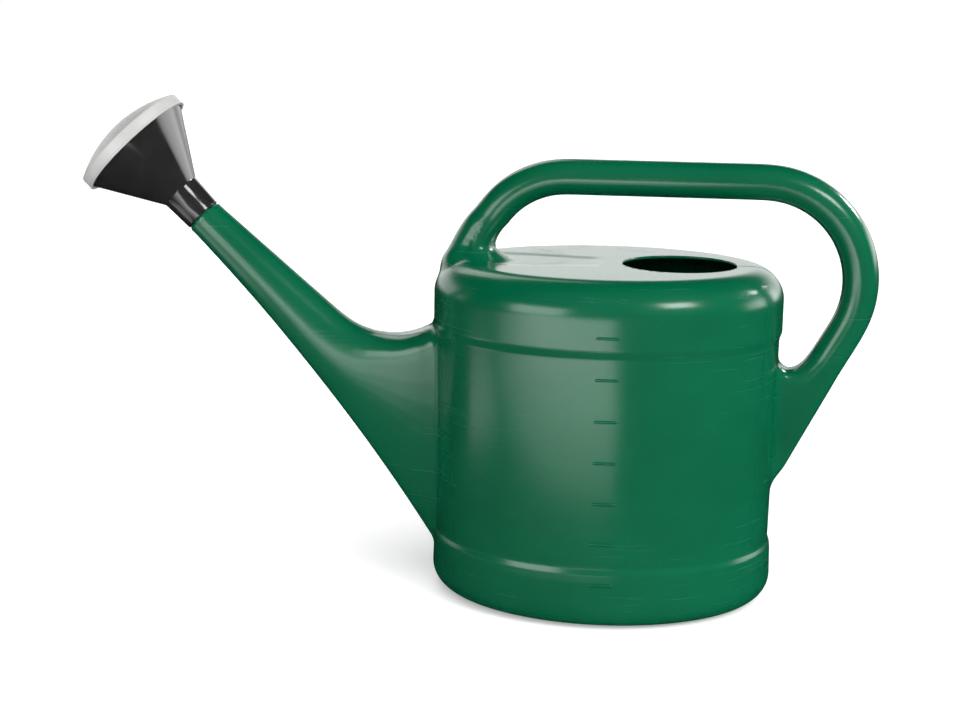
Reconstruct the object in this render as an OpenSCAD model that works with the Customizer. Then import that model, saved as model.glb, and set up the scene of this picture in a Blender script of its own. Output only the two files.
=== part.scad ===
// Two-gallon watering can: an oval blow-moulded can with a long spout and a
// loop handle, and a push-on sprinkler rose with a snap-on perforated cap.
//
// Frame: +X points to the back of the handle, -X to the rose, +Z is up. The
// origin is the centre of the oval barrel, on the surface that it stands on.
// The reservoir, spout and handle are three regions of one hollow moulding.
// They meet along the outer skin of the barrel, where the real can is fused.

/* [Barrel] */
// Length of the oval over its upper band, front to back
barrel_length = 236.8; // [234:0.2:240]
// Width of the oval as a share of its length
oval_ratio = 0.84; // [0.81:0.01:0.87]
// Height of the flat top above the floor
barrel_height = 228.5; // [227:0.5:230]
// Thickness of the moulded plastic wall
wall = 2; // [1.6:0.1:2.4]
// Radius of the shoulder between the upper band and the top
shoulder_radius = 22; // [19:1:24]
// Radius of the corner between the lower band and the base
base_radius = 16; // [13:1:18]
// Diameter of the filler opening in the top
filler_diameter = 77; // [70:1:80]
// Distance of the filler opening behind the centre of the barrel
filler_offset = 47.8; // [45:0.1:50]

/* [Spout] */
// Outer diameter of the spout where the rose begins
spout_tip_diameter = 25.5; // [25:0.1:26]
// Outer diameter of the plain neck that the rose pushes onto
neck_diameter = 21.8; // [21:0.1:22]
// Length of the neck beyond the end of the spout
neck_length = 18; // [14:0.5:20]

/* [Handle] */
// Outer diameter of the round grip
grip_diameter = 23.8; // [22:0.1:24.6]
// Height of the centre line of the straight grip
grip_height = 285.4; // [283:0.1:288]
// Radius of the bend in front of the grip, to its centre line
front_bend = 59.5; // [57:0.5:62]
// Radius of the loop behind the grip, to its centre line
rear_bend = 66.3; // [64:0.1:68]

/* [Rose] */
// Angle of the rose's axis above the horizontal
rose_tilt = 45.3; // [44:0.1:47]
// Outer diameter of the cap
cap_diameter = 86.8; // [84:0.2:90]
// Height of the cap's skirt
skirt_height = 8; // [7:0.5:9]
// Rise of the cap's dome above its skirt
dome_rise = 11.6; // [9:0.1:12]
// Length of the collar, up to the start of the cone
collar_length = 23; // [22:0.5:24]
// Length from the end of the spout to the cap
cone_end = 65.2; // [63:0.1:67]
// Diameter of each spray hole
spray_hole = 1.8; // [1.2:0.1:2.2]
// Rings of spray holes round the middle one
spray_rings = 5; // [3:1:5]
// Radial clearance of the rose on the neck, and of the cap on the cone
slip_fit = 0.08; // [0.05:0.01:0.1]

/* [Hidden] */
$fn = 96;
can_green = [0, 0.41, 0.29];

// Half lengths of the oval at the heights where the side changes
band_half = barrel_length / 2;
wall_top_half = band_half - 1.7;
wall_foot_half = band_half - 3.4;
low_band_half = band_half - 1.6;
base_half = band_half - 1.1;
low_band_top = 33;
low_step_mid = 38;
low_crease = 41.7;
high_crease = 180.5;
high_band_foot = 186;

// The base rests on a flat ring round a raised panel
panel_half = 76;
panel_rise = 5;
ring_half = 84;

// Flats round the oval, and flats in a quarter turn of its rounded edges
oval_sides = 64;
base_steps = 6;
shoulder_steps = 7;

// The shallow panel in the top, which narrows from the handle's foot to the filler
recess_front = -71;
recess_back = -8;
recess_front_half = 27;
recess_back_half = 17;
recess_corner = 5;
recess_depth = 1;

// Raised level marks on the near side of the wall, a little behind its middle
mark_count = 7;
mark_top = 194.5;
mark_step = 27.2;
mark_offset = 5.3;
mark_width = 15;
mark_height = 2;
mark_proud = 0.7;

function arc(cx, cy, r, from, to, steps) =
    [for (i = [0 : steps]) let (a = from + (to - from) * i / steps) [cx + r * cos(a), cy + r * sin(a)]];

// The side of the barrel as [half length, height], moved inwards by inset
function side(inset) = concat(
    arc(base_half - base_radius, base_radius, base_radius - inset, -90, 0, base_steps),
    [[low_band_half - inset, low_band_top],
     [low_band_half - inset - 0.5, low_step_mid],
     [wall_foot_half - inset, low_crease],
     [wall_top_half - inset, high_crease],
     [band_half - inset, high_band_foot]],
    arc(band_half - shoulder_radius, barrel_height - shoulder_radius,
        shoulder_radius - inset, 0, 90, shoulder_steps));

half_at_height = [for (p = side(0)) [p[1], p[0]]];

// Distance outside the barrel's skin at which the spout and handle land on it
landing_gap = 0.05;

// Distance to a flat of the oval, as a share of its half length, at an angle
function flat_share(angle) =
    let (pitch = 360 / oval_sides, part = angle - pitch * floor(angle / pitch))
    cos(pitch / 2) / cos(part - pitch / 2);

function in_barrel(p) =
    let (y = p[1] / oval_ratio)
    p[2] < barrel_height + landing_gap
    && norm([p[0], y]) < (lookup(p[2], half_at_height) + landing_gap) * flat_share(atan2(y, p[0]));

function blend(a, b, t) = a + (b - a) * t;

// The point between outer point p and inner point q that lies on the barrel's skin
function landing(p, q, steps) =
    let (middle = (p + q) / 2)
    steps == 0 ? middle
    : in_barrel(middle) ? landing(p, middle, steps - 1)
    : landing(middle, q, steps - 1);

// The ring where a tube that runs from one ring to another meets the barrel
function landed(ring, inside_ring) = [for (k = [0 : len(ring) - 1]) landing(ring[k], inside_ring[k], 22)];

// A closed section between two edge points in the XZ plane. Each edge is half
// an ellipse, given as [half width, depth], with straight flanks between them.
function section(a, b, end_a, end_b, inset, sides) =
    let (u = (b - a) / norm(b - a), ca = a + u * end_a[1], cb = b - u * end_b[1])
    [for (k = [0 : sides - 1])
        let (angle = 360 * (k + 0.5) / sides,
             size = (sin(angle) > 0 ? end_b : end_a) - [inset, inset],
             c = (sin(angle) > 0 ? cb : ca) + u * size[1] * sin(angle))
        [c[0], size[0] * cos(angle), c[1]]];

// The same section with extra points spread along its two straight flanks
function flanked(points, extra) =
    let (last = len(points) - 1, half = len(points) / 2,
         steps = [for (i = [1 : 1 : extra]) i / (extra + 1)])
    concat(
        [for (k = [0 : half - 1]) points[k]],
        [for (t = steps) blend(points[half - 1], points[half], t)],
        [for (k = [half : last]) points[k]],
        [for (t = steps) blend(points[last], points[0], t)]);

function round_end(r) = [r, r];

function flat(rings) = [for (ring = rings) for (p = ring) p];

// Triangles between neighbouring rings of points, the first at index start
function skin(start, rings, sides, outward) =
    [for (j = [0 : rings - 2]) for (k = [0 : sides - 1])
        let (p = start + j * sides + k,
             q = start + j * sides + (k + 1) % sides)
        for (half = [0, 1])
            half == 0 ? (outward ? [p, q, p + sides] : [q, p, p + sides])
                      : (outward ? [q, q + sides, p + sides] : [q + sides, q, p + sides])];

// Triangles closing the end between an outer ring and an inner ring
function rim(outer, inner, sides, outward) =
    [for (k = [0 : sides - 1])
        let (p = outer + k, q = outer + (k + 1) % sides, r = inner + k, s = inner + (k + 1) % sides)
        for (half = [0, 1])
            half == 0 ? (outward ? [p, r, q] : [p, q, r])
                      : (outward ? [r, s, q] : [r, q, s])];

// A hollow tube with the given rings outside and inside, open at both ends
module tube(outside, inside) {
    sides = len(outside[0]);
    rings = len(outside);
    inner_start = rings * sides;
    last = (rings - 1) * sides;
    polyhedron(
        points = concat(flat(outside), flat(inside)),
        faces = concat(
            skin(0, rings, sides, true),
            skin(inner_start, rings, sides, false),
            rim(0, inner_start, sides, true),
            rim(last, inner_start + last, sides, false)));
}

// A prism along X that cuts a slot through one end wall of the barrel, where
// the section between the edge points a and b lands on it
module wall_slot(a, b, end_a, end_b, from) {
    rotate([90, 0, 90])
        translate([0, 0, from])
            linear_extrude(60)
                polygon([for (p = section(a, b, end_a, end_b, 0, 20)) [p[1], p[2]]]);
}

// ---- Spout ----

// End of the spout, on the axis of the rose
tip = [-281.3, 251.8];
tip_radius = spout_tip_diameter / 2;
tip_normal = [sin(rose_tilt), cos(rose_tilt)];
tip_upper = tip + tip_normal * (tip_radius + 0.1);
tip_lower = tip - tip_normal * (tip_radius + 0.1);

// Upper edge: the saddle's arc from the barrel, then a straight run to the tip
saddle_centre = [-149, 227.3];
saddle_radius = 54;
saddle_start = -56;
saddle_end = -130.5;
saddle_leave = saddle_centre + saddle_radius * [cos(saddle_end), sin(saddle_end)];

// Lower edge: one long shallow hollow curve from the lower band to the tip
keel_foot = [-114, 22];
keel_hollow = 7.3;
keel_split = 0.61;

// Share of the spout, from the barrel, at which the fan of rings becomes a tube
fan = 0.5;
spout_rings = 18;
spout_sides = 24;

function keel(t) =
    let (along = tip_lower - keel_foot, up = [along[1], -along[0]] / norm(along))
    blend(keel_foot, tip_lower, t) + up * keel_hollow * 4 * t * (1 - t);

function crest(s) = s < fan
    ? let (a = blend(saddle_start, saddle_end, s / fan)) saddle_centre + saddle_radius * [cos(a), sin(a)]
    : blend(saddle_leave, tip_upper, (s - fan) / (1 - fan));

function keel_at(s) = keel(s < fan ? keel_split * s / fan : blend(keel_split, 1, (s - fan) / (1 - fan)));

// Half width and depth of the section's upper and lower edges along the spout
function crest_end(s) = [
    lookup(s, [[-0.1, 31], [0, 27], [0.1, 23.5], [0.25, 20], [fan, 16.5], [1, tip_radius]]),
    lookup(s, [[-0.1, 18], [0.25, 17], [fan, 16.5], [1, tip_radius]])];
function keel_end(s) = [
    lookup(s, [[-0.1, 18], [0, 14], [0.1, 11.5], [0.25, 12], [fan, 15], [1, tip_radius]]),
    lookup(s, [[-0.1, 12], [0.25, 12], [fan, 15], [1, tip_radius]])];

// The wall thickens inwards at the tip, where the neck grows out of it
tip_wall = tip_radius - neck_diameter / 2 + 1.6;

function spout_section(s, inset) =
    section(keel_at(s), crest(s), keel_end(s), crest_end(s), inset, spout_sides);

spout_steps = [for (i = [1 : spout_rings]) i / spout_rings];
root_step = -0.1;

function spout_tube(inset) = concat(
    [landed(spout_section(spout_steps[0], inset), spout_section(root_step, inset))],
    [for (s = spout_steps) spout_section(s, s == 1 && inset > 0 ? tip_wall : inset)]);

module rose_frame() {
    translate([tip[0], 0, tip[1]])
        rotate([0, rose_tilt - 90, 0])
            children();
}

module spout() {
    root_lap = 3;
    color(can_green)
        union() {
            tube(spout_tube(0), spout_tube(wall));
            rose_frame()
                difference() {
                    translate([0, 0, -root_lap])
                        cylinder(d = neck_diameter, h = neck_length + root_lap);
                    translate([0, 0, -root_lap - 1])
                        cylinder(d = neck_diameter - 2 * wall, h = neck_length + root_lap + 2);
                }
        }
}

// ---- Handle ----

grip_radius = grip_diameter / 2;
handle_sides = 28;
handle_flank = 6;

// Centres of the two bends, under the ends of the straight grip
front_centre = [-30, grip_height - front_bend];
rear_centre = [102.3, grip_height - rear_bend];
front_turn = 58;
rear_turn = 119;

function bend_section(centre, bend, a, inset) =
    let (out = [cos(a), sin(a)], half = grip_radius + 0.1)
    flanked(section(centre + out * (bend - half), centre + out * (bend + half),
                    round_end(grip_radius), round_end(grip_radius), inset, handle_sides), handle_flank);

// The front leg widens towards the shoulder, and the rear leg into a web. Each
// row holds the inner and outer edge points, and the shape of the section there.
// The row beyond each end lies inside the barrel and gives the tube's direction.
front_leg = [
    [[-70, 214], [-110, 196], [24, 16], [20, 14]],
    [[-74.2, 230.7], [-114.2, 227.2], [19, 14], [15.8, 13]],
    [[-77.2, 233], [-112.6, 229.2], [17, 13], [14.5, 12.6]],
    [[-78, 239], [-108, 238], [15, 13], [13, 12.4]],
    [[-75.4, 245.2], [-103.4, 247], [13.4, 12.8], [12.4, 12.2]],
    [[-71, 251], [-97.6, 256.4], [12.4, 12.4], [12.1, 12.1]]];
rear_leg = [
    [[145, 184.3], [166.1, 172.4], [12, 12], [12, 12]],
    [[138.5, 172.6], [158.4, 158.5], [12, 12], [11.6, 11.6]],
    [[132.3, 163.6], [149.4, 140.5], [12.8, 12], [11.2, 11.2]],
    [[127.3, 160.2], [139.7, 121.5], [15, 12], [11, 11]],
    [[123.2, 159.6], [130, 102.4], [17.5, 12.5], [10.5, 10.5]],
    [[119.8, 160.8], [121.8, 86], [20, 13], [10.5, 10.5]],
    [[112, 170], [107, 57], [27, 15], [15, 14]]];

function leg_section(row, inset) =
    flanked(section(row[0], row[1], row[2], row[3], inset, handle_sides), handle_flank);

front_rows = len(front_leg);
rear_rows = len(rear_leg);

function handle_tube(inset) = concat(
    [landed(leg_section(front_leg[1], inset), leg_section(front_leg[0], inset))],
    [for (i = [1 : front_rows - 1]) leg_section(front_leg[i], inset)],
    [for (i = [0 : 7]) bend_section(front_centre, front_bend, 90 + front_turn * (1 - i / 7), inset)],
    [for (i = [0 : 12]) bend_section(rear_centre, rear_bend, 90 - rear_turn * i / 12, inset)],
    [for (i = [0 : rear_rows - 2]) leg_section(rear_leg[i], inset)],
    [landed(leg_section(rear_leg[rear_rows - 2], inset), leg_section(rear_leg[rear_rows - 1], inset))]);

module handle() {
    color(can_green)
        tube(handle_tube(0), handle_tube(wall));
}

// ---- Reservoir ----

function oval_ring(half, z) =
    [for (k = [0 : oval_sides - 1])
        let (a = 360 * k / oval_sides)
        [half * cos(a), half * oval_ratio * sin(a), z]];

// A solid of oval rings, one for each [half length, height] of the profile
module oval_solid(profile) {
    last = (len(profile) - 1) * oval_sides;
    polyhedron(
        points = flat([for (p = profile) oval_ring(p[0], p[1])]),
        faces = concat(
            skin(0, len(profile), oval_sides, false),
            [[for (k = [0 : oval_sides - 1]) k]],
            [[for (k = [oval_sides - 1 : -1 : 0]) last + k]]));
}

module barrel_skin() {
    oval_solid(concat([[panel_half, panel_rise], [ring_half, 0]], side(0)));
}

module barrel_cavity() {
    oval_solid(concat([[panel_half + 1, panel_rise + wall], [ring_half + 1, wall]], side(wall)));
}

module level_marks() {
    for (i = [0 : mark_count - 1])
        let (z = mark_top - i * mark_step, near = -oval_ratio * lookup(z, half_at_height))
            translate([mark_offset - mark_width / 2, near - mark_proud, z - mark_height / 2])
                cube([mark_width, mark_proud + wall / 2, mark_height]);
}

module top_recess() {
    ends = [[recess_front + recess_corner, recess_front_half - recess_corner],
            [recess_back - recess_corner, recess_back_half - recess_corner]];
    hull()
        for (end = ends, side = [-1, 1])
            translate([end[0], side * end[1], barrel_height - recess_depth])
                cylinder(r = recess_corner, h = recess_depth + 1, $fn = 32);
}

module reservoir() {
    color(can_green)
        difference() {
            union() {
                barrel_skin();
                level_marks();
            }
            barrel_cavity();
            top_recess();
            translate([filler_offset, 0, barrel_height - 2 * wall])
                cylinder(d = filler_diameter, h = 3 * wall);
            wall_slot([-120, 50], [-120, 166], [8, 8], [18, 14], -130);
            wall_slot([120, 92], [120, 148], [6, 6], [14, 10], 70);
            translate([-93, 0, 205])
                cylinder(r = 8, h = 30);
        }
}

// ---- Rose ----

cap_radius = cap_diameter / 2;
seat_gap = 0.3;
collar_radius = 12.95;
throat_radius = collar_radius + 1.05;
throat_bore = 9.5;
rim_radius = cap_radius - 2.4;
rim_wall = 1.8;
rim_end = cone_end + skirt_height - 1.4;
cap_wall = 1.6;

module rose_cone() {
    bore = neck_diameter / 2 + slip_fit;
    stop = neck_length + 0.4;
    color([0.09, 0.09, 0.1])
        rose_frame()
            rotate_extrude()
                polygon([
                    [bore, seat_gap],
                    [collar_radius, seat_gap],
                    [throat_radius, collar_length],
                    [rim_radius - 0.6, cone_end],
                    [rim_radius, cone_end + 1],
                    [rim_radius, rim_end],
                    [rim_radius - rim_wall, rim_end],
                    [rim_radius - rim_wall - 0.6, cone_end + 1],
                    [throat_bore, collar_length - 1],
                    [throat_bore, stop],
                    [bore, stop]]);
}

// The spray face is a shallow spherical dome that meets the skirt at its edge
dome_radius = (cap_radius * cap_radius + dome_rise * dome_rise) / (2 * dome_rise);
dome_foot = cone_end + skirt_height;
dome_centre = dome_foot + dome_rise - dome_radius;

function dome_arc(r, reach_radius) =
    arc(0, dome_centre, r, 90 - asin(reach_radius / r), 90, 10);

module spray_holes() {
    pitch = 6.6;
    for (ring = [0 : spray_rings])
        for (i = [0 : max(6 * ring, 1) - 1])
            rotate([0, 0, 360 * i / max(6 * ring, 1)])
                translate([ring * pitch, 0, cone_end])
                    cylinder(d = spray_hole, h = skirt_height + dome_rise + 1, $fn = 24);
}

module rose_cap() {
    bore = rim_radius + slip_fit;
    color([0.88, 0.89, 0.87])
        rose_frame()
            difference() {
                rotate_extrude()
                    polygon(concat(
                        dome_arc(dome_radius, cap_radius),
                        [for (i = [10 : -1 : 0]) dome_arc(dome_radius - cap_wall, bore)[i]],
                        [[bore, cone_end], [cap_radius, cone_end]]));
                spray_holes();
            }
}

reservoir();
spout();
handle();
rose_cone();
rose_cap();
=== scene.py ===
"""Looks of the two-gallon watering can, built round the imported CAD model.

The can's one-piece body is an implicit solid: the oval barrel is a formula, the
spout and handle are lofted tubes turned into distance grids, and a rounded
union joins them with the fillets of a real blow moulding. Shape values are in
millimetres, in the CAD frame; meshes are in metres.
"""

import math

import bmesh
import bpy
import numpy as np
import openvdb
from mathutils import Matrix, Vector


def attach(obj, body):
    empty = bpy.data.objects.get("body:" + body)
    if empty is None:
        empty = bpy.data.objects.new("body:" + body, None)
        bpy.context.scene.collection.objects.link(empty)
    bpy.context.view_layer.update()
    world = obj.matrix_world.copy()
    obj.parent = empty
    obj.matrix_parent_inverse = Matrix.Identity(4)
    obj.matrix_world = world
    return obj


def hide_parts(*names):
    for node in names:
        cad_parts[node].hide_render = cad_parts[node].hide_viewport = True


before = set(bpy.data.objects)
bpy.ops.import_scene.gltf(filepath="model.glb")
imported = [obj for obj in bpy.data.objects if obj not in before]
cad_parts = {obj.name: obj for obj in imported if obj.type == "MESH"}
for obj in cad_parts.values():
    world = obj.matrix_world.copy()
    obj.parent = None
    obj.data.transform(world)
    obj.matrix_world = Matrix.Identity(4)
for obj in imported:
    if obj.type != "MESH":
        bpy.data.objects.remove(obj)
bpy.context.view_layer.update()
MM = 0.001

# ---- Sizes of the can, in millimetres, which follow the CAD model ----

WALL = 2.0
OVAL_RATIO = 0.84
HEIGHT = 228.5
SHOULDER_RADIUS = 22.0
BASE_RADIUS = 16.0
# The wall's height and half length, with its two bands, and how far its creases are softened.
SIDE = [(0, 117.3), (16, 117.3), (33, 116.8), (38, 116.3), (41.7, 115.0),
        (180.5, 116.7), (186, 118.4), (228.5, 118.4)]
SIDE_LOW, SIDE_HIGH, SIDE_STEP = -20, 260, 0.1
CREASE_BLUR = 0.7
# The raised panel under the base, inside the ring that the can stands on.
PANEL_HALF, RING_HALF, PANEL_RISE = 76.0, 84.0, 5.0
PANEL_SQUASH, PANEL_ROUND, PANEL_FILLET = 1.5, 2.0, 1.5
# The shallow panel in the top, and how far its edges take to fade.
RECESS_FRONT, RECESS_BACK, RECESS_DEPTH = -76.0, -8.0, 0.6
RECESS_FRONT_HALF, RECESS_BACK_HALF = 28.0, 17.0
RECESS_FADE, RECESS_FRONT_FADE = 12, 10
# The filler opening, whose rim is turned over at this radius.
FILLER_X, FILLER_RADIUS, RIM_ROUND = 47.8, 38.5, 0.7
HOLE_RADIUS = FILLER_RADIUS + RIM_ROUND
MARKS, MARK_TOP, MARK_STEP = 7, 194.5, 27.2
MARK_X, MARK_HALF, MARK_HIGH, MARK_PROUD = 5.3, 7.5, 2.0, 0.7

ROSE_TILT = math.radians(45.3)
TIP = np.array([-281.3, 251.8])
TIP_RADIUS, NECK_RADIUS, NECK_BORE, NECK_LENGTH = 12.75, 10.9, 8.9, 18.0
# The arc of the spout's upper edge: its centre, radius, and the angles where it starts and ends.
SADDLE, SADDLE_RADIUS, SADDLE_FIRST, SADDLE_LAST = (-149.0, 227.3), 54.0, -56.0, -130.5
# The spout's lower edge: its foot, and how far it is hollowed halfway along.
FOOT, KEEL_HOLLOW = np.array([-114.0, 22.0]), 7.3
# The share of the rows that follow the arc, and how far up the lower edge they reach.
SADDLE_SHARE, KEEL_SHARE = 0.5, 0.61
GRIP_RADIUS, GRIP_HEIGHT = 11.9, 285.4
# The handle's two bends: their radii, the lengthwise places of their centres, and their turns.
FRONT_RADIUS, FRONT_X, FRONT_TURN, FRONT_STEPS = 59.5, -30.0, 58.0, 7
REAR_RADIUS, REAR_X, REAR_TURN, REAR_STEPS = 66.3, 102.3, 119.0, 14

# Fillet radius round the barrel, and what the top, the back and the spout add or take away.
FILLET, FILLET_ON_TOP, FILLET_AT_BACK, FILLET_AT_SPOUT = 6.0, 4.0, 1.0, 3.5

# ---- How finely the can is worked out, in millimetres ----

CELL = 2.4
# How much larger the spout's and handle's tubes are drawn than in the CAD model.
EASE = 0.1
SPOUT_SIDES, HANDLE_SIDES = 64, 48
# How far from a tube its distances are worked out, outside and inside, and the grid's two corners.
OUT_BAND, IN_BAND = 14.0, 8.0
GRID_LOW = np.floor(np.array([-310, -3 * CELL, -10]) / CELL).astype(int)
GRID_HIGH = np.ceil(np.array([194, 110, 310]) / CELL).astype(int)
TINY = 1e-6


def lerp(a, b, t):
    return a + (b - a) * t


def polar(centre, radius, degrees):
    a = math.radians(degrees)
    return np.array([centre[0] + radius * math.cos(a), centre[1] + radius * math.sin(a)])


def row(lower, upper, end_lower, end_upper, square_lower=2.0, square_upper=2.0):
    """A section of a tube: its two edge points in the XZ plane, each edge's half width and
    depth, and each edge's squareness, which is 2 for an ellipse."""
    squares = [square_lower, square_upper]
    return np.concatenate([lower, upper, end_lower, end_upper, squares]).astype(float)


def refine(rows, step=1.5, blur=4.0):
    """The rows spread evenly along the tube, with their corners smoothed over a few millimetres."""
    rows = np.array(rows)
    lower_moved = np.linalg.norm(np.diff(rows[:, 0:2], axis=0), axis=1)
    upper_moved = np.linalg.norm(np.diff(rows[:, 2:4], axis=0), axis=1)
    along = np.concatenate([[0], np.cumsum(np.maximum(lower_moved, upper_moved))])
    even = np.linspace(0, along[-1], int(along[-1] / step) + 1)
    dense = np.column_stack([np.interp(even, along, column) for column in rows.T])
    reach = int(3 * blur / step)
    weights = np.exp(-0.5 * (np.arange(-reach, reach + 1) * step / blur) ** 2)
    weights /= weights.sum()
    before = 2 * dense[0] - dense[reach:0:-1]
    after = 2 * dense[-1] - dense[-2:-reach - 2:-1]
    padded = np.vstack([before, dense, after])
    return list(np.column_stack([np.convolve(column, weights, "valid") for column in padded.T]))


def ring(r, sides, flank=8):
    """The closed section of a row: two rounded ends, with smooth flanks between them."""
    lower, upper, low_end, up_end = r[0:2], r[2:4], r[4:6], r[6:8]
    low_square, up_square = r[8:10]
    along = (upper - lower) / np.linalg.norm(upper - lower)
    angle = math.pi * np.linspace(0, 1, sides // 2)
    ends = []
    for middle, end, square, sign in ((upper - along * up_end[1], up_end, up_square, 1),
                                      (lower + along * low_end[1], low_end, low_square, -1)):
        wide = end[0] * np.sign(np.cos(angle)) * np.abs(np.cos(angle)) ** (2 / square) * sign
        high = end[1] * np.sin(angle) ** (2 / square) * sign
        ends.append(np.column_stack([middle[0] + along[0] * high, wide, middle[1] + along[1] * high]))
    between = []
    for start, stop in ((ends[0][-1], ends[1][0]), (ends[1][-1], ends[0][0])):
        t = (np.arange(flank) + 1)[:, None] / (flank + 1)
        line = start + (stop - start) * t
        line[:, 1] = start[1] + (stop[1] - start[1]) * (t * t * (3 - 2 * t))[:, 0]
        between.append(line)
    return np.vstack([ends[0], between[0], ends[1], between[1]])


def closed_tube(rows, sides):
    """Points, quads and triangles of the closed solid through the rows."""
    rings = [ring(r, sides) for r in rows]
    sides = len(rings[0])
    points = np.vstack(rings + [rings[0].mean(0)[None], rings[-1].mean(0)[None]])
    quads, triangles = [], []
    last, n = (len(rings) - 1) * sides, len(points)
    for k in range(sides):
        m = (k + 1) % sides
        for j in range(len(rings) - 1):
            quads.append((j * sides + k, j * sides + m, (j + 1) * sides + m, (j + 1) * sides + k))
        triangles.append((k, n - 2, m))
        triangles.append((last + k, last + m, n - 1))
    return points.astype(np.float32), np.array(triangles, np.uint32), np.array(quads, np.uint32)


# ---- Spout and handle as rows ----

def spout_rows(stations=17):
    """From inside the barrel to the end of the spout."""
    normal = np.array([math.sin(ROSE_TILT), math.cos(ROSE_TILT)])
    tip_upper, tip_lower = TIP + normal * (TIP_RADIUS + EASE), TIP - normal * (TIP_RADIUS + EASE)
    leave = polar(SADDLE, SADDLE_RADIUS, SADDLE_LAST)
    away = tip_lower - FOOT
    up = np.array([away[1], -away[0]]) / np.linalg.norm(away)
    root_depth, next_depth, root_square, tip_square = 18, 17, 2.3, 2

    def keel(t):
        return lerp(FOOT, tip_lower, t) + up * KEEL_HOLLOW * 4 * t * (1 - t)

    made = [row((-102, 34), (-100, 190), (30, 138), (30, 18), root_square, 3)]
    for s in np.linspace(0, 1, stations):
        if s < SADDLE_SHARE:
            part = s / SADDLE_SHARE
            lower = keel(KEEL_SHARE * part)
            upper = polar(SADDLE, SADDLE_RADIUS, lerp(SADDLE_FIRST, SADDLE_LAST, part))
        else:
            part = (s - SADDLE_SHARE) / (1 - SADDLE_SHARE)
            lower = keel(lerp(KEEL_SHARE, 1, part))
            upper = lerp(leave, tip_upper, part)
        high = np.linalg.norm(upper - lower)
        wide = np.interp(s, [0, 0.1, 0.25, SADDLE_SHARE, 1], [26, 22.5, 19.5, 17, TIP_RADIUS])
        share = np.interp(s, [0, 0.25, SADDLE_SHARE, 1], [root_depth / high, next_depth / high, 0.5, 0.5])
        up_deep = share * high
        low_square = lerp(tip_square, root_square, smoothstep(1.5 - 2 * s))
        up_square = np.interp(s, [0, 0.3, 0.6], [3.2, 2.8, tip_square])
        made.append(row(lower, upper, (wide, high - up_deep), (wide, up_deep), low_square, up_square))
    return refine(made)


def handle_rows():
    """From inside the front shoulder, over the grip, to inside the back of the barrel."""
    round_end = (GRIP_RADIUS, GRIP_RADIUS)

    def bend(x, radius, degrees):
        centre = (x, GRIP_HEIGHT - radius)
        inner, outer = radius - GRIP_RADIUS - EASE, radius + GRIP_RADIUS + EASE
        return row(polar(centre, inner, degrees), polar(centre, outer, degrees), round_end, round_end)

    def straight(x):
        bottom, top = GRIP_HEIGHT - GRIP_RADIUS - EASE, GRIP_HEIGHT + GRIP_RADIUS + EASE
        return row((x, bottom), (x, top), round_end, round_end)

    made = [
        row((-70, 214), (-106, 196), (23, 15), (19, 14)),
        row((-74.2, 230.7), (-114.2, 227.2), (19, 14), (15.8, 13)),
        row((-77.2, 233), (-112.6, 229.2), (17, 13), (14.5, 12.6)),
        row((-78, 239), (-108, 238), (15, 13), (13, 12.4)),
        row((-75.4, 245.2), (-103.4, 247), (13.4, 12.8), (12.4, 12.2)),
        row((-71, 251), (-97.6, 256.4), (12.4, 12.4), (12.1, 12.1))]
    made += [bend(FRONT_X, FRONT_RADIUS, 90 + FRONT_TURN * (1 - i / FRONT_STEPS))
             for i in range(FRONT_STEPS + 1)]
    made += [straight(x) for x in np.linspace(FRONT_X, REAR_X, 8)[1:-1]]
    made += [bend(REAR_X, REAR_RADIUS, 90 - REAR_TURN * i / REAR_STEPS) for i in range(REAR_STEPS + 1)]
    made += [
        row((145, 184.3), (166.1, 172.4), (12, 12), (12, 12)),
        row((138.5, 172.6), (158.4, 158.5), (12, 12), (11.6, 11.6)),
        row((132.3, 163.6), (149.4, 140.5), (12.3, 11.5), (10.5, 11), 2.4),
        row((127.3, 160.2), (139.7, 121.5), (12.6, 11), (9.5, 10), 3),
        row((123.2, 159.6), (130, 102.4), (12.9, 10.5), (8.5, 10), 3.4),
        row((119.8, 160.8), (121.8, 86), (13.2, 10), (8, 10), 3.4),
        row((104, 164), (104, 74), (13.5, 10), (8, 11), 3.4)]
    return refine(made)


# ---- The can's implicit solid ----

def distance_grid(rows, sides):
    """Signed distance to the tube through the rows, on the grid that the whole can uses."""
    points, triangles, quads = closed_tube(rows, sides)
    level = openvdb.FloatGrid.createLevelSetFromPolygons(
        points, triangles, quads, openvdb.createLinearTransform(voxelSize=CELL),
        OUT_BAND / CELL, IN_BAND / CELL)
    values = np.empty(tuple(GRID_HIGH - GRID_LOW), np.float32)
    level.copyToArray(values, ijk=tuple(int(i) for i in GRID_LOW))
    return values


def cubic(values, p):
    """Tricubic interpolation of grid values at points in millimetres."""
    margin = 0.001
    at = np.clip(p / CELL - GRID_LOW, 1 + margin, np.array(values.shape) - 2 - margin)
    cell = np.floor(at).astype(int)
    f = at - cell
    weights = np.stack([((2 - f) * f - 1) * f / 2, (f * f * (3 * f - 5) + 2) / 2,
                        ((4 - 3 * f) * f + 1) * f / 2, (f - 1) * f * f / 2])
    out = np.zeros(len(p))
    for i in range(4):
        for j in range(4):
            for k in range(4):
                w = weights[i, :, 0] * weights[j, :, 1] * weights[k, :, 2]
                out += w * values[cell[:, 0] + i - 1, cell[:, 1] + j - 1, cell[:, 2] + k - 1]
    return out


side_z = np.arange(SIDE_LOW, SIDE_HIGH, SIDE_STEP)
side_half = np.interp(side_z, *zip(*SIDE))
kernel = np.ones(int(CREASE_BLUR / SIDE_STEP) * 2 + 1)
kernel /= kernel.sum()
side_half = np.convolve(np.pad(side_half, len(kernel) // 2, mode="edge"), kernel, "valid")


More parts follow.
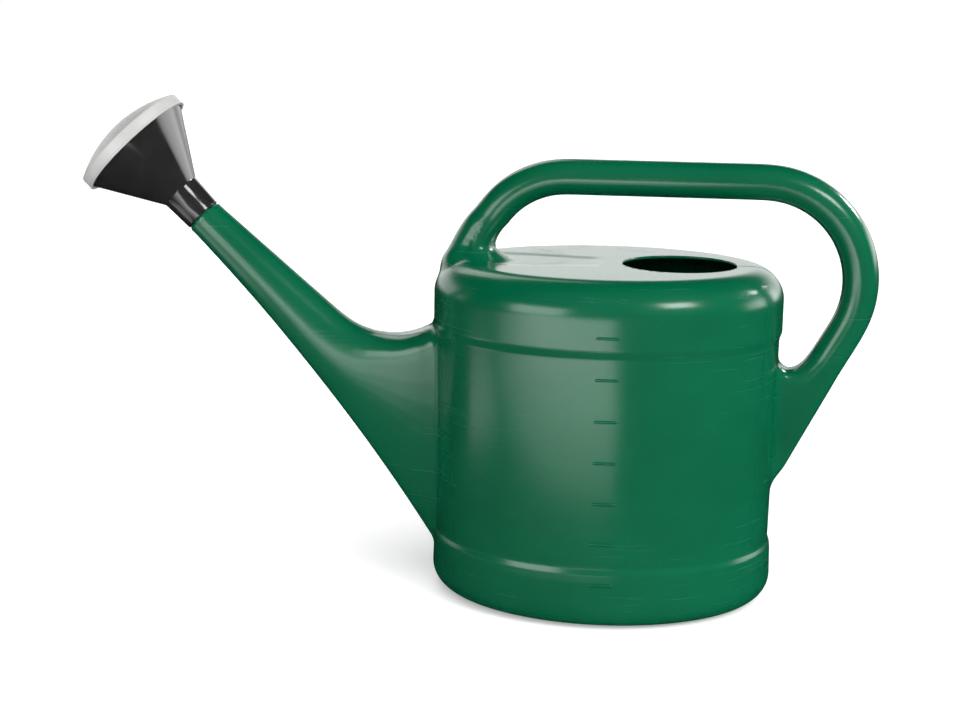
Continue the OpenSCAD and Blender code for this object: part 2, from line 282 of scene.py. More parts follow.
def rounded(a, b, radius):
    """The distance to the inside of both a and b, with their edge rounded."""
    a, b = a + radius, b + radius
    return np.minimum(np.maximum(a, b), 0) + np.hypot(np.maximum(a, 0), np.maximum(b, 0)) - radius


def joined(a, b, radius):
    """The distance to either a or b, with a fillet of that radius between them."""
    near_a, near_b = np.maximum(radius - a, 0), np.maximum(radius - b, 0)
    return np.maximum(np.minimum(a, b), radius) - np.hypot(near_a, near_b)


def smoothstep(t):
    t = np.clip(t, 0, 1)
    return t * t * (3 - 2 * t)


def recess(x, y):
    """How far the shallow panel lowers the top."""
    along = (x - RECESS_FRONT) / (RECESS_BACK - RECESS_FRONT)
    half = lerp(RECESS_FRONT_HALF, RECESS_BACK_HALF, along)
    across = smoothstep(0.5 - (np.abs(y) - half) / RECESS_FADE)
    before_back = smoothstep(0.5 - (x - RECESS_BACK) / RECESS_FADE)
    behind_front = smoothstep(0.5 + (x - RECESS_FRONT) / RECESS_FRONT_FADE)
    return RECESS_DEPTH * across * before_back * behind_front


def barrel(x, y, z):
    """The distance to the oval barrel, with its bands, its rounded edges and the panel under it."""
    radius = np.sqrt(x * x + (y / OVAL_RATIO) ** 2) + TINY
    steep = np.sqrt((x / radius) ** 2 + (y / radius / OVAL_RATIO ** 2) ** 2) + TINY
    side = (radius - np.interp(z, side_z, side_half)) / steep
    solid = np.maximum(rounded(side, z - HEIGHT + recess(x, y), SHOULDER_RADIUS),
                       rounded(side, -z, BASE_RADIUS))
    panel_edge = RING_HALF - (RING_HALF - PANEL_HALF) * z / PANEL_RISE
    panel = rounded((radius - panel_edge) / steep / PANEL_SQUASH, z - PANEL_RISE, PANEL_ROUND)
    return -joined(-solid, panel, PANEL_FILLET)


def fillet(x, z):
    """Fillet radius where the spout and handle meet the barrel, which changes from place to place.

    Each smoothstep is how far a point is past a plane, over how far the change takes."""
    at_spout = smoothstep((-60 - x) / 40) * smoothstep((185 - z) / 25)
    on_top = smoothstep((z - 215) / 15)
    at_back = smoothstep((x - 60) / 40)
    return FILLET + FILLET_ON_TOP * on_top + FILLET_AT_BACK * at_back - FILLET_AT_SPOUT * at_spout


def whole(x, y, z, spout, handle):
    return joined(barrel(x, y, z), np.minimum(spout, handle), fillet(x, z))


spout_grid = distance_grid(spout_rows(), SPOUT_SIDES)
handle_grid = distance_grid(handle_rows(), HANDLE_SIDES)


def can_distance(p):
    half = p.copy()
    half[:, 1] = np.abs(half[:, 1])
    return whole(half[:, 0], half[:, 1], half[:, 2], cubic(spout_grid, half), cubic(handle_grid, half))


def gradient(p, step=0.25):
    parts = []
    for axis in range(3):
        shift = np.zeros(3)
        shift[axis] = step
        parts.append((can_distance(p + shift) - can_distance(p - shift)) / (2 * step))
    return np.column_stack(parts)


def settle(p, level, rounds):
    """Moves points onto the surface at that level, and returns them with its normals."""
    flattest, nothing = 0.05, 1e-9
    for _ in range(rounds):
        g = gradient(p)
        length = np.maximum((g * g).sum(1), flattest)
        move = -g * ((can_distance(p) - level) / length)[:, None]
        size = np.linalg.norm(move, axis=1)
        p = p + move * np.minimum(1, CELL / np.maximum(size, nothing))[:, None]
    g = gradient(p)
    return p, g / np.maximum(np.linalg.norm(g, axis=1), nothing)[:, None]


def half_skin(values, step, level):
    """Quads of the surface at that level, on the far side of the can's middle plane."""
    grid = openvdb.FloatGrid(OUT_BAND)
    grid.copyFromArray(np.ascontiguousarray(values[::step, ::step, ::step]), ijk=(0, 0, 0))
    points, quads = grid.convertToQuads(level)
    points = points.astype(float) * step * CELL + GRID_LOW * CELL
    return points, quads


def cut_and_mirror(points, quads):
    """Keeps what lies beyond the middle plane, and mirrors it, as one bmesh."""
    on_plane, flattened, merged = 0.05, 0.06, 0.001
    mesh = bmesh.new()
    verts = [mesh.verts.new(p) for p in points]
    for q in quads:
        mesh.faces.new([verts[i] for i in q])
    bmesh.ops.bisect_plane(mesh, geom=mesh.verts[:] + mesh.edges[:] + mesh.faces[:], dist=on_plane,
                           plane_co=(0, 0, 0), plane_no=(0, -1, 0), clear_outer=True)
    for v in mesh.verts:
        if abs(v.co.y) < flattened:
            v.co.y = 0
    bmesh.ops.mirror(mesh, geom=mesh.verts[:] + mesh.edges[:] + mesh.faces[:],
                     matrix=Matrix.Identity(4), merge_dist=merged, axis="Y")
    return mesh


# ---- The can's mesh ----

def grid_of_the_can():
    axes = [np.arange(GRID_LOW[i], GRID_HIGH[i]) * CELL for i in range(3)]
    x, y, z = np.meshgrid(*axes, indexing="ij")
    return whole(x, y, z, spout_grid, handle_grid).astype(np.float32)


def positions(mesh):
    return np.array([v.co for v in mesh.verts])


def place(mesh, points):
    for v, p in zip(mesh.verts, points):
        v.co = p


def filler_circle(z, sides=96):
    """Points round the hole that is cut for the filler."""
    return hoop_points(HOLE_RADIUS, z, 2 * math.pi * np.arange(sides) / sides)


def hoop_points(radius, z, angles):
    return [Vector((FILLER_X + radius * math.cos(a), radius * math.sin(a), z)) for a in angles]


def open_filler(mesh, z):
    """Cuts a ragged hole in the flat top round the filler, and fills it up to a clean circle."""
    ragged, flat, edge_room = FILLER_RADIUS + 3.0, 1.0, 1.0

    def inside(v, reach):
        return math.hypot(v.co.x - FILLER_X, v.co.y) < reach and abs(v.co.z - z) < flat

    near = [f for f in mesh.faces if all(inside(v, ragged) for v in f.verts)]
    bmesh.ops.delete(mesh, geom=near, context="FACES")
    edge = [e for e in mesh.edges
            if e.is_boundary and all(inside(v, ragged + edge_room) for v in e.verts)]
    rim = [mesh.verts.new(p) for p in filler_circle(z)]
    hoop = [mesh.edges.new((rim[i], rim[(i + 1) % len(rim)])) for i in range(len(rim))]
    bmesh.ops.triangle_fill(mesh, edges=edge + hoop, use_beauty=True, normal=(0, 0, 1))
    return rim


def open_tip(mesh):
    """Opens the end of the spout, behind the wall of the neck."""
    depth, radius = 8, NECK_RADIUS - 1.0
    gone = []
    for f in mesh.faces:
        here = [rose_place(v.co) for v in f.verts]
        if all(h > -depth and r < radius for h, r in here):
            gone.append(f)
    bmesh.ops.delete(mesh, geom=gone, context="FACES")


def rose_place(p):
    """Height along the rose's axis from the end of the spout, and distance from that axis."""
    x, z = p[0] - TIP[0], p[2] - TIP[1]
    along = -x * math.cos(ROSE_TILT) + z * math.sin(ROSE_TILT)
    across = x * math.sin(ROSE_TILT) + z * math.cos(ROSE_TILT)
    return along, math.hypot(across, p[1])


def split_near(mesh, wanted):
    """Halves the edges of the faces that are wholly in the wanted place."""
    edges = {e for f in mesh.faces if all(wanted(v.co) for v in f.verts) for e in f.edges}
    bmesh.ops.subdivide_edges(mesh, edges=list(edges), cuts=1, use_grid_fill=True)


def fine_detail(co):
    """Where the surface has features too small for the grid: the bands' creases and the panel's edge."""
    within_wall, beyond_wall, beside_edge = 108, 119, 5
    on_wall = 31 < co.z < 44 or 178 < co.z < 188.5
    outside = co.x ** 2 + (co.y / OVAL_RATIO) ** 2 > within_wall ** 2 and abs(co.x) < beyond_wall
    along = (co.x - RECESS_FRONT) / (RECESS_BACK - RECESS_FRONT)
    from_edge = abs(abs(co.y) - lerp(RECESS_FRONT_HALF, RECESS_BACK_HALF, along))
    on_top = 226 < co.z < 229 and -82 < co.x < 2
    return (on_wall and outside) or (on_top and from_edge < beside_edge)


def placed(name, data):
    """A new object with that data, in the scene."""
    made = bpy.data.objects.new(name, data)
    bpy.context.scene.collection.objects.link(made)
    return made


def write_mesh(name, points, faces, normals):
    """A smooth Blender object from points in millimetres, with its own normals if it is given them."""
    data = bpy.data.meshes.new(name)
    data.from_pydata((np.array(points) * MM).tolist(), [], faces)
    data.polygons.foreach_set("use_smooth", [True] * len(data.polygons))
    if normals is not None:
        data.normals_split_custom_set_from_vertices([tuple(n) for n in normals])
    data.update()
    return placed(name, data)


def seam_points(mesh):
    """The runs of points of the skin along the middle plane, clear of the openings."""
    shortest, lowest, short_of_tip, on_plane = 4, 20, -1.0, 1e-3

    def keep(v):
        front_of_top = 227 < v.co.z < 229 and -100 < v.co.x < FILLER_X + FILLER_RADIUS + 0.5
        clear = not front_of_top and v.co.z > lowest and rose_place(v.co)[0] < short_of_tip
        return clear and abs(v.co.y) < on_plane

    links = {}
    for e in mesh.edges:
        a, b = e.verts
        if keep(a) and keep(b):
            links.setdefault(a.index, []).append(b.index)
            links.setdefault(b.index, []).append(a.index)
    runs, left = [], set(links)
    while left:
        ends = [i for i in left if len(links[i]) == 1]
        run = [min(ends) if ends else min(left)]
        left.discard(run[0])
        while True:
            onward = [i for i in links[run[-1]] if i in left]
            if not onward:
                break
            run.append(onward[0])
            left.discard(onward[0])
        if len(run) > shortest:
            closed = run[0] in links[run[-1]]
            runs.append((run, closed))
    return runs


def open_skin(values, step, level, rounds, detail=None):
    """The surface at that level with both openings: its mesh, points, normals and the filler's rim."""
    mesh = cut_and_mirror(*half_skin(values, step, level))
    points, _ = settle(positions(mesh), level, rounds)
    place(mesh, points)
    if detail:
        split_near(mesh, detail)
    rim = open_filler(mesh, HEIGHT + level)
    open_tip(mesh)
    mesh.verts.ensure_lookup_table()
    mesh.verts.index_update()
    points, normals = settle(positions(mesh), level, 2)
    rim_numbers = [v.index for v in rim]
    points[rim_numbers] = [tuple(p) for p in filler_circle(HEIGHT + level)]
    normals[rim_numbers] = (0, 0, 1)
    place(mesh, points)
    return mesh, points, normals, rim_numbers


def make_can():
    """The can's body as one hollow mesh, with its skin's points and normals and the seam's runs."""
    values = grid_of_the_can()
    skin, points, normals, outer_rim = open_skin(values, 1, 0.0, 3, fine_detail)
    runs = seam_points(skin)
    faces = oriented(skin, points, normals)
    lining, inner, inner_normals, inner_rim = open_skin(values, 2, -WALL, 4)
    inner_faces = oriented(lining, inner, -inner_normals)

    start, count = len(points), len(outer_rim)
    all_points, all_normals = [points, inner], [normals, -inner_normals]
    all_faces = faces + [tuple(i + start for i in f) for f in inner_faces]
    rings = [outer_rim]
    ring_start = len(points) + len(inner)
    angle = 2 * math.pi * np.arange(count) / count
    for middle, turns in ((HEIGHT - RIM_ROUND, (30, 60, 90)), (HEIGHT - WALL + RIM_ROUND, (90, 120, 150))):
        for turn in map(math.radians, turns):
            height = middle + RIM_ROUND * math.cos(turn)
            radius = HOLE_RADIUS - RIM_ROUND * math.sin(turn)
            all_points.append(np.array([tuple(p) for p in hoop_points(radius, height, angle)]))
            inward = -math.sin(turn)
            all_normals.append(np.column_stack([np.cos(angle) * inward, np.sin(angle) * inward,
                                                np.full(count, math.cos(turn))]))
            rings.append(list(range(ring_start, ring_start + count)))
            ring_start += count
    rings.append([i + start for i in inner_rim])
    for a, b in zip(rings, rings[1:]):
        for k in range(count):
            m = (k + 1) % count
            all_faces.append((a[k], a[m], b[m], b[k]))
    made = write_mesh("can_body", np.vstack(all_points), all_faces, np.vstack(all_normals))
    return made, points, normals, runs


def oriented(mesh, points, normals):
    """The faces as tuples, each turned to face along the normals of its corners."""
    faces = []
    for f in mesh.faces:
        at = [v.index for v in f.verts]
        towards = normals[at].sum(0)
        side = 0.0
        for i in range(min(len(at), 4) - 2):
            a, b, c = points[at[i]], points[at[i + 1]], points[at[i + 2]]
            side += np.dot(np.cross(b - a, c - b), towards)
        faces.append(tuple(at if side > 0 else at[::-1]))
    return faces


def make_seam(points, normals, runs):
    """The fine ridge that the halves of the mould leave along the middle plane."""
    profile = [(-0.5, -0.1), (-0.25, 0.08), (0.0, 0.13), (0.25, 0.08), (0.5, -0.1)]
    lean = 1.2
    made_points, made_faces, made_normals = [], [], []
    for run, closed in runs:
        line, up = points[run], normals[run]
        start, wide, count = len(made_points), len(profile), len(run)
        for p, u in zip(line, up):
            for y, out in profile:
                made_points.append(p + u * out + np.array([0, y, 0]))
                tilted = u + np.array([0, y * lean, 0])
                made_normals.append(tilted / np.linalg.norm(tilted))
        for i in range(count if closed else count - 1):
            j = (i + 1) % count
            ahead = line[j] - line[i]
            turned_over = np.dot(np.cross(ahead, (0, 1, 0)), up[i]) > 0
            for k in range(wide - 1):
                here, there = start + i * wide + k, start + j * wide + k
                quad = (here, there, there + 1, here + 1)
                made_faces.append(quad if turned_over else quad[::-1])
    return write_mesh("can_seam", made_points, made_faces, made_normals)


def wall_point(x, z, out):
    """A point over the near side of the wall, and the way that the wall faces there."""
    half = float(np.interp(z, side_z, side_half))
    y = -OVAL_RATIO * math.sqrt(half * half - x * x)
    facing = np.array([x, y / OVAL_RATIO ** 2, 0.0])
    facing /= np.linalg.norm(facing)
    return np.array([x, y, z]) + facing * out, facing


def make_marks(along=12, around=8, sunk=0.08, end_square=8, low_end=0.6, crown=0.7, end_lean=0.5):
    """The raised level marks, as round-topped bars that follow the wall."""
    points, faces, normals = [], [], []
    for i in range(MARKS):
        start = len(points)
        for j in range(along + 1):
            t = -math.cos(math.pi * j / along)
            x = MARK_X + MARK_HALF * t
            size = math.sqrt(max(1 - abs(t) ** end_square, 0.0))
            for k in range(around + 1):
                a = math.pi * k / around
                z = MARK_TOP - i * MARK_STEP - MARK_HIGH / 2 * math.cos(a) * lerp(low_end, 1, size)
                rise = MARK_PROUD * math.sin(a) ** crown * size
                p, facing = wall_point(x, z, rise - sunk)
                n = facing * math.sin(a) + np.array([end_lean * t ** (end_square - 1), 0, -math.cos(a)])
                points.append(p)
                normals.append(n / np.linalg.norm(n))
        for j in range(along):
            for k in range(around):
                a = start + j * (around + 1) + k
                faces.append((a, a + around + 1, a + around + 2, a + 1))
        back = [start + j * (around + 1) for j in range(along + 1)]
        front = [b + around for b in back]
        for j in range(along):
            faces.append((back[j], front[j], front[j + 1], back[j + 1]))
    return write_mesh("level_marks", points, faces, normals)


# ---- Turned pieces on the rose's axis ----

SHARP = math.radians(28)
AXIS = np.array([-math.cos(ROSE_TILT), 0, math.sin(ROSE_TILT)])
CENTRE = np.array([TIP[0], 0, TIP[1]])


def mark_sharp(mesh):
    """Leaves an edge hard where the two faces beside it meet at more than the sharp angle."""
    for e in mesh.edges:
        e.smooth = len(e.link_faces) != 2 or e.calc_face_angle(0) < SHARP


def turned(name, profile, sides=160):
    """A closed piece turned about the rose's axis from (radius, height along the axis) points."""
    side = np.array([math.sin(ROSE_TILT), 0, math.cos(ROSE_TILT)])
    across = np.array([0, 1, 0])
    points, faces = [], []
    count = len(profile)
    for k in range(sides):
        a = 2 * math.pi * k / sides
        out = side * math.cos(a) + across * math.sin(a)
        points += [CENTRE + AXIS * h + out * r for r, h in profile]
    for k in range(sides):
        m = (k + 1) % sides
        for i in range(count):
            j = (i + 1) % count
            faces.append((k * count + i, k * count + j, m * count + j, m * count + i))
    made = write_mesh(name, points, faces, None)
    mesh = bmesh.new()
    mesh.from_mesh(made.data)
    bmesh.ops.remove_doubles(mesh, verts=mesh.verts, dist=TINY)
    bmesh.ops.recalc_face_normals(mesh, faces=mesh.faces)
    mark_sharp(mesh)
    mesh.to_mesh(made.data)
    mesh.free()
    return made


def bow(cx, cy, radius, start, end, steps):
    """Points along an arc, from one angle to another in degrees."""
    angles = [math.radians(start + (end - start) * i / steps) for i in range(steps + 1)]
    return [(cx + radius * math.cos(a), cy + radius * math.sin(a)) for a in angles]


def make_neck(root=-4.5, lip=0.8, inner_lip=0.5):
    """The neck that the rose pushes over, from inside the end of the spout to its rounded lip."""
    profile = [(NECK_RADIUS, root)]
    profile += bow(NECK_RADIUS - lip, NECK_LENGTH - lip, lip, 0, 90, 4)
    profile += bow(NECK_BORE + inner_lip, NECK_LENGTH - inner_lip, inner_lip, 90, 180, 3)
    profile += [(NECK_BORE, root)]
    return turned("can_neck", profile, 96)


# Sizes of the rose, with its heights taken along its axis from the end of the spout.
CONE_END, CAP_RADIUS, SKIRT, DOME_RISE = 65.2, 43.4, 8.0, 11.6
RIM_RADIUS, SLIP, BORE_END = 41.0, 0.08, 18.4
COLLAR_SIDE = [(13.3, 9), (13.95, 22.2), (14.15, 22.8)]
CONE_FOOT, CONE_TOP = (14.6, 23.6), (40.0, 64.6)


def make_cone(corner=0.5):
    """The funnel: a collar round the neck, the cone, and the rim that the cap snaps over."""
    bore = NECK_RADIUS + SLIP
    profile = bow(12.95 - corner, 0.8, corner, -90, 0, 4) + COLLAR_SIDE + [CONE_FOOT]
    profile += [(lerp(CONE_FOOT[0], CONE_TOP[0], t), lerp(CONE_FOOT[1], CONE_TOP[1], t))
                for t in (0.2, 0.4, 0.6, 0.8, 1.0)]
    profile += [(40.55, 65.6), (RIM_RADIUS - 0.15, 66.2), (RIM_RADIUS, 66.6)]
    profile += bow(RIM_RADIUS - corner, 71.3, corner, 0, 90, 3)
    profile += [(RIM_RADIUS - 1.8, 71.8), (RIM_RADIUS - 2.4, 66.2), (9.5, 22.0), (9.5, BORE_END)]
    profile += [(bore, BORE_END), (bore, 0.9), (bore + 0.4, 0.3)]
    return turned("rose_funnel", profile)


def make_cap(wall=1.6, steps=14):
    """The snap-on cap: a domed spray face, a skirt with a small lip, and real spray holes."""
    sphere = (CAP_RADIUS ** 2 + DOME_RISE ** 2) / (2 * DOME_RISE)
    foot = CONE_END + SKIRT
    middle = foot + DOME_RISE - sphere
    inner, almost_axis = RIM_RADIUS + SLIP, 0.001
    reach = math.degrees(math.asin((CAP_RADIUS - 0.6) / sphere))
    inner_reach = math.degrees(math.asin((inner - 0.4) / (sphere - wall)))
    outside = bow(0, middle, sphere, 90 - reach, 90, steps)[:-1]
    inside = bow(0, middle, sphere - wall, 90, 90 - inner_reach, steps)[1:]
    profile = [(inner + 0.25, CONE_END + 0.02), (CAP_RADIUS - 0.2, CONE_END + 0.02)]
    profile += [(CAP_RADIUS, CONE_END + 0.25), (CAP_RADIUS, CONE_END + 0.9)]
    profile += [(CAP_RADIUS - 0.35, CONE_END + 1.5)]
    profile += [(CAP_RADIUS - 0.25, foot - 1.2), (CAP_RADIUS - 0.25, foot - 0.4)]
    profile += outside + [(almost_axis, middle + sphere), (almost_axis, middle + sphere - wall)] + inside
    profile += [(inner, foot - 2.2), (inner, CONE_END + 0.3)]
    made = turned("rose_spray_cap", profile)
    pins = spray_pins(foot)
    cut = made.modifiers.new("holes", "BOOLEAN")
    cut.object, cut.operation, cut.solver = pins, "DIFFERENCE", "EXACT"
    bpy.context.view_layer.update()
    evaluated = made.evaluated_get(bpy.context.evaluated_depsgraph_get())
    finished = bpy.data.meshes.new_from_object(evaluated)
    made.modifiers.clear()
    made.data = finished
    bpy.data.objects.remove(pins)
    mesh = bmesh.new()
    mesh.from_mesh(made.data)
    mark_sharp(mesh)
    for f in mesh.faces:
        f.smooth = True
    mesh.to_mesh(made.data)
    mesh.free()
    return made


def spray_pins(foot, pitch=6.6, rings=5, radius=0.9, sides=16, length=26, above_foot=4):
    """The pins that cut the spray holes: one in the middle, and six more in each ring than the last."""
    turn = Matrix.Rotation(ROSE_TILT - math.pi / 2, 4, "Y")
    mesh = bmesh.new()
    for number in range(rings + 1):
        count = max(6 * number, 1)
        for i in range(count):
            a = 2 * math.pi * i / count
            spot = turn @ Vector((number * pitch * math.cos(a), number * pitch * math.sin(a), 0))
            base = Vector(CENTRE) + spot + Vector(AXIS) * (foot + above_foot)
            where = Matrix.Translation(base * MM) @ turn
            bmesh.ops.create_cone(mesh, cap_ends=True, segments=sides, radius1=radius * MM,
                                  radius2=radius * MM, depth=length * MM, matrix=where)
    data = bpy.data.meshes.new("pins")
    mesh.to_mesh(data)
    mesh.free()
    return placed("pins", data)


# ---- Materials ----

# Each plastic's two shades, in linear colour.
GREEN_SHADES = (0.0, 0.074, 0.031), (0.0, 0.085, 0.037)
SCUFF_GREEN, SCUFF_SHARE = (0.03, 0.26, 0.18), 0.02
BLACK_SHADES = (0.010, 0.010, 0.011), (0.016, 0.015, 0.015)
WHITE_SHADES = (0.35, 0.35, 0.34), (0.40, 0.40, 0.39)
FLOOR_SHADES = (0.90, 0.90, 0.90), (0.93, 0.93, 0.93)
EVEN = (1, 1, 1)


def node_material(name):
    made = bpy.data.materials.new(name)
    made.use_nodes = True
    tree = made.node_tree
    return made, tree, tree.nodes["Principled BSDF"]


def link(tree, a, b):
    tree.links.new(a, b)


def add(tree, kind, **values):
    node = tree.nodes.new(kind)
    for key, value in values.items():
        setattr(node, key, value)
    return node


def stretched_noise(tree, scale, detail, stretch, roughness=0.6):
    """Noise in the object's own coordinates, in metres, stretched by the three factors."""
    where = add(tree, "ShaderNodeTexCoord")
    mapping = add(tree, "ShaderNodeMapping")
    mapping.inputs["Scale"].default_value = stretch
    noise = add(tree, "ShaderNodeTexNoise")
    noise.inputs["Scale"].default_value = scale
    noise.inputs["Detail"].default_value = detail
    noise.inputs["Roughness"].default_value = roughness
    link(tree, where.outputs["Object"], mapping.inputs["Vector"])
    link(tree, mapping.outputs["Vector"], noise.inputs["Vector"])
    return noise.outputs["Fac"]


def remap(tree, value, low, high, to_low, to_high):
    """A smooth step from to_low to to_high, while the value goes from low to high."""
    node = add(tree, "ShaderNodeMapRange", interpolation_type="SMOOTHSTEP")
    for i, number in enumerate((low, high, to_low, to_high), 1):
        node.inputs[i].default_value = number
    link(tree, value, node.inputs[0])
    return node.outputs[0]


def middling(tree, noise, to_low, to_high):
    """Noise spread over its usual range."""
    return remap(tree, noise, 0.3, 0.7, to_low, to_high)


def mixed(tree, share, a, b):
    """A mix of two colours, each a fixed colour or a socket."""
    node = add(tree, "ShaderNodeMix", data_type="RGBA")
    for socket, colour in (("A", a), ("B", b)):
        if isinstance(colour, tuple):
            node.inputs[socket].default_value = (*colour, 1)
        else:
            link(tree, colour, node.inputs[socket])
    link(tree, share, node.inputs["Factor"])
    return node.outputs["Result"]


def combined(tree, a, b, how="ADD"):
    """The sum of two numbers or sockets, or what else the operation says."""
    node = add(tree, "ShaderNodeMath", operation=how)
    for i, value in enumerate((a, b)):
        if isinstance(value, (int, float)):
            node.inputs[i].default_value = value
        else:
            link(tree, value, node.inputs[i])
    return node.outputs[0]


def bump(tree, shader, height, distance, strength):
    node = add(tree, "ShaderNodeBump")
    node.inputs["Distance"].default_value = distance
    node.inputs["Strength"].default_value = strength
    link(tree, height, node.inputs["Height"])
    link(tree, node.outputs["Normal"], shader.inputs["Normal"])


def green_plastic():
    """Blow-moulded green plastic with fine scuffs round the wall, most of them in worn patches."""
    made, tree, shader = node_material("green_polyethylene")
    scuffs = stretched_noise(tree, 60, 4, (0.22, 0.22, 9.0), 0.7)
    patches = stretched_noise(tree, 9, 3, (1, 1, 1.6))
    grain = stretched_noise(tree, 900, 2, EVEN)
    scuffed, in_patch = remap(tree, scuffs, 0.46, 0.78, 0, 1), remap(tree, patches, 0.35, 0.65, 0.25, 1)
    worn = combined(tree, scuffed, in_patch, "MULTIPLY")
    body = mixed(tree, middling(tree, patches, 0, 1), *GREEN_SHADES)
    pale = combined(tree, worn, SCUFF_SHARE, "MULTIPLY")
    link(tree, mixed(tree, pale, body, SCUFF_GREEN), shader.inputs["Base Color"])
    gloss = combined(tree, remap(tree, worn, 0, 1, 0.21, 0.34), middling(tree, grain, -0.02, 0.02))
    link(tree, gloss, shader.inputs["Roughness"])
    shader.inputs["IOR"].default_value = 1.52
    scratch_height = combined(tree, scuffs, 0.3, "MULTIPLY")
    grain_height = combined(tree, grain, 0.35, "MULTIPLY")
    bump(tree, shader, combined(tree, scratch_height, grain_height), 0.00006, 0.2)
    return made


def plain_plastic(name, shades, flow_scale, gloss, grain_scale, grain_gloss, index, depth, strength):
    """Moulded plastic with soft flow patches and a fine grain. Gloss is a range of roughness."""
    made, tree, shader = node_material(name)
    flow = stretched_noise(tree, flow_scale, 3, EVEN)
    grain = stretched_noise(tree, grain_scale, 2, EVEN)
    link(tree, mixed(tree, middling(tree, flow, 0, 1), *shades), shader.inputs["Base Color"])
    rough = combined(tree, middling(tree, flow, *gloss), middling(tree, grain, *grain_gloss))
    link(tree, rough, shader.inputs["Roughness"])
    shader.inputs["IOR"].default_value = index
    bump(tree, shader, grain, depth, strength)
    return made


green = green_plastic()
black = plain_plastic("black_plastic", BLACK_SHADES, flow_scale=40, gloss=(0.09, 0.15), grain_scale=1400,
                      grain_gloss=(-0.02, 0.03), index=1.6, depth=0.00005, strength=0.4)
white = plain_plastic("white_plastic", WHITE_SHADES, flow_scale=30, gloss=(0.36, 0.46), grain_scale=1100,
                      grain_gloss=(-0.03, 0.03), index=1.5, depth=0.00008, strength=0.5)
can, skin_points, skin_normals, seam_runs = make_can()
seam = make_seam(skin_points, skin_normals, seam_runs)
marks = make_marks()
neck = make_neck()
cone = make_cone()
cap = make_cap()
for piece, material, body, slot in (
        (can, green, "can", "can_plastic"), (seam, green, "can", "can_plastic"),
        (marks, green, "can", "can_plastic"), (neck, green, "can", "can_plastic"),
        (cone, black, "rose", "cone_plastic"), (cap, white, "cap", "cap_plastic")):
    piece.data.materials.clear()
    piece.data.materials.append(material)
    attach(piece, body)
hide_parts("reservoir", "spout", "handle")
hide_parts("rose_cone")
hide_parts("rose_cap")

# ---- Floor, backdrop, lights and camera, in metres ----

STAGE_REACH, WALL_TOP, FLOOR_DROP, CARD_HEIGHT = 7.0, 6.0, -0.0006, 0.004
LENS, SENSOR, FAR_CLIP = 66.78, 36.0, 50
EYE = Vector((0.052817, -1.197872, 0.408480))
YAW, PITCH, ROLL = math.radians(6.65), math.radians(11.78), math.radians(0.89)


def stage_mesh(name, points, faces, material):
    data = bpy.data.meshes.new(name)
    data.from_pydata(points, [], faces)
    data.materials.append(material)
    made = placed(name, data)
    return made


def floor_and_backdrop(sides=48):
    """A plain pale floor, which the gloss of the can doesn't pick up, and a white wall all round it."""
    pale, tree, shader = node_material("pale_floor")
    tone = stretched_noise(tree, 2, 2, EVEN)
    link(tree, mixed(tree, tone, *FLOOR_SHADES), shader.inputs["Base Color"])
    shader.inputs["Roughness"].default_value = 0.9
    shader.inputs["Specular IOR Level"].default_value = 0.1
    shader.inputs["Emission Color"].default_value = (1, 1, 1, 1)
    shader.inputs["Emission Strength"].default_value = 0.3
    angles = [2 * math.pi * k / sides for k in range(sides)]
    edge = [(STAGE_REACH * math.cos(a), STAGE_REACH * math.sin(a)) for a in angles]
    floor = stage_mesh("floor", [(x, y, FLOOR_DROP) for x, y in edge], [tuple(range(sides))], pale)
    floor.visible_glossy = False
    glow = bpy.data.materials.new("white_backdrop")
    glow.use_nodes = True
    glow.node_tree.nodes.clear()
    light = add(glow.node_tree, "ShaderNodeEmission")
    out = add(glow.node_tree, "ShaderNodeOutputMaterial")
    link(glow.node_tree, light.outputs[0], out.inputs["Surface"])
    points = [(x, y, z) for z in (FLOOR_DROP, WALL_TOP) for x, y in edge]
    faces = [(k, (k + 1) % sides, sides + (k + 1) % sides, sides + k) for k in range(sides)]
    wall = stage_mesh("backdrop", points, faces, glow)
    wall.visible_diffuse = False
    wall.visible_glossy = False
    wall.visible_transmission = False
    wall.visible_shadow = False


def aimed(name, light, towards):
    """A lamp that shines along a direction."""
    lamp = placed(name, light)
    lamp.rotation_euler = Vector(towards).to_track_quat("-Z", "Y").to_euler()
    return lamp


def softbox(name, place_at, look_at, width, height, brightness, diffuse=True):
    """A soft rectangular light of an even brightness, out of the camera's sight."""
    light = bpy.data.lights.new(name, "AREA")
    light.shape, light.size, light.size_y = "RECTANGLE", width, height
    light.energy = brightness * math.pi * width * height
    lamp = aimed(name, light, Vector(look_at) - Vector(place_at))
    lamp.location = place_at
    lamp.visible_camera = False
    lamp.visible_diffuse = diffuse


def table_card(name, x, y, width, depth, brightness):
    """A bright card that lies on the table, seen only in the gloss."""
    softbox(name, (x, y, CARD_HEIGHT), (x, y, 1.0), width, depth, brightness, diffuse=False)


def skylight(strength, towards, spread):
    """Even soft light over the whole floor, which leaves no highlight of its own."""
    light = bpy.data.lights.new("even_light", "SUN")
    light.energy, light.angle = strength, math.radians(spread)
    aimed("even_light", light, towards).visible_glossy = False


def ramp_product(tree, terms, strength):
    """The product of smooth ramps times a strength, each (value, where it is 0, where it is 1)."""
    out = None
    for value, dark, bright in terms:
        ends = (dark, bright, 0.0, 1.0) if dark < bright else (bright, dark, 1.0, 0.0)
        step = remap(tree, value, *ends)
        out = step if out is None else combined(tree, out, step, "MULTIPLY")
    return combined(tree, out, strength, "MULTIPLY")


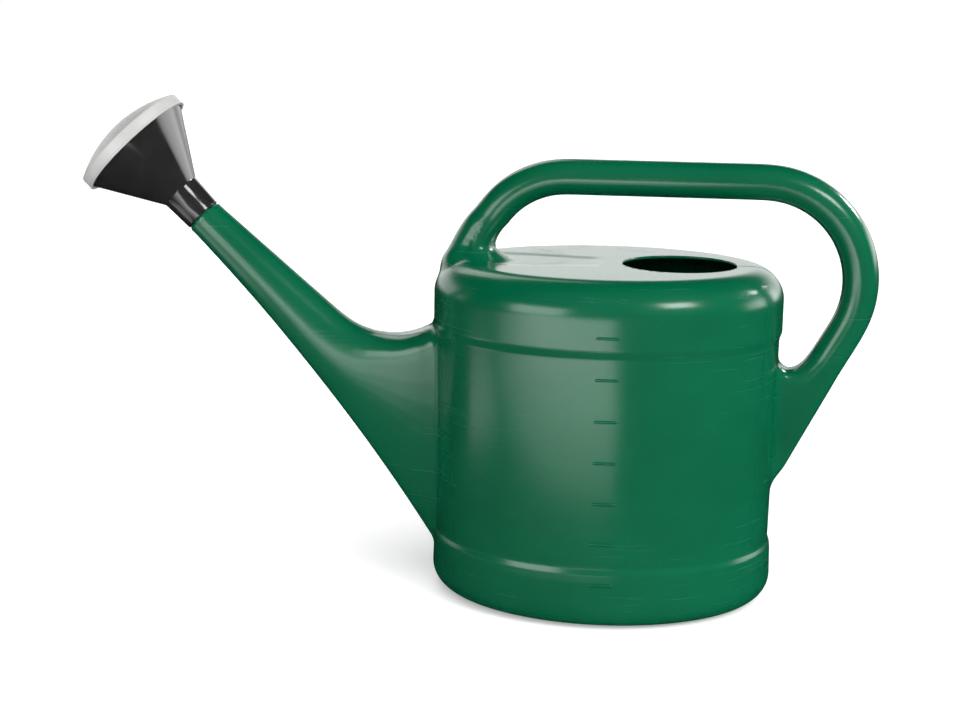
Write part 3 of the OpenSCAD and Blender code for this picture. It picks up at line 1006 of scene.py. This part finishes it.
def room(elsewhere=0.002):
    """What the gloss picks up far away: bright walls low behind and to the right, and little elsewhere."""
    world = bpy.data.worlds.new("studio")
    bpy.context.scene.world = world
    world.use_nodes = True
    world.cycles.sampling_method = "NONE"
    tree = world.node_tree
    shade = tree.nodes["Background"]
    where = add(tree, "ShaderNodeTexCoord")
    axes = add(tree, "ShaderNodeSeparateXYZ")
    link(tree, where.outputs["Generated"], axes.inputs[0])
    x, y, z = axes.outputs
    above_floor = (z, -0.06, 0.06)
    behind = ramp_product(tree, [(y, 0.02, 0.35), (z, 0.45, 0.22), above_floor], 1.6)
    right = ramp_product(tree, [(x, 0.5, 0.72), (y, 0.02, 0.14), (z, 0.34, 0.2), above_floor], 2.6)
    link(tree, combined(tree, combined(tree, behind, right), elsewhere), shade.inputs["Strength"])
    shade.inputs["Color"].default_value = (1, 1, 1, 1)


def camera():
    """The photograph's viewpoint, worked out from the can's own geometry."""
    data = bpy.data.cameras.new("camera")
    data.lens, data.sensor_width = LENS, SENSOR
    data.clip_end = FAR_CLIP
    eye = placed("camera", data)
    forward = Vector((-math.sin(YAW) * math.cos(PITCH), math.cos(YAW) * math.cos(PITCH), -math.sin(PITCH)))
    level_right = forward.cross(Vector((0, 0, 1))).normalized()
    level_up = level_right.cross(forward)
    right = level_right * math.cos(ROLL) + level_up * math.sin(ROLL)
    up = -level_right * math.sin(ROLL) + level_up * math.cos(ROLL)
    turn = Matrix((right, up, -forward)).transposed()
    eye.matrix_world = Matrix.Translation(EYE) @ turn.to_4x4()
    bpy.context.scene.camera = eye


floor_and_backdrop()
room()
camera()
skylight(4.6, towards=(-0.45, 0.8, -0.8), spread=110)
softbox("front_high", (1.0, -1.0, 1.15), (0.03, 0, 0.2), width=0.5, height=0.4, brightness=14)
softbox("low_window", (-0.80, -1.05, 0.38), (0, 0, 0.2), width=0.75, height=0.52, brightness=4.6,
        diffuse=False)
softbox("side_spark", (1.0, 0.66, 0.83), (0.1, -0.05, 0.22), width=0.36, height=0.2, brightness=36,
        diffuse=False)
softbox("back_high", (-0.6, 1.3, 1.3), (0, 0, 0.15), width=0.8, height=0.8, brightness=2.0)
table_card("near_card", -0.42, -0.46, width=0.95, depth=0.18, brightness=1.3)
table_card("middle_card", -0.50, -0.70, width=1.2, depth=0.30, brightness=2.6)
table_card("far_card", -0.50, -1.15, width=1.2, depth=0.60, brightness=5.0)
table_card("left_card", -0.70, -0.18, width=0.4, depth=0.25, brightness=1.5)
bpy.context.scene.view_settings.view_transform = "Standard"
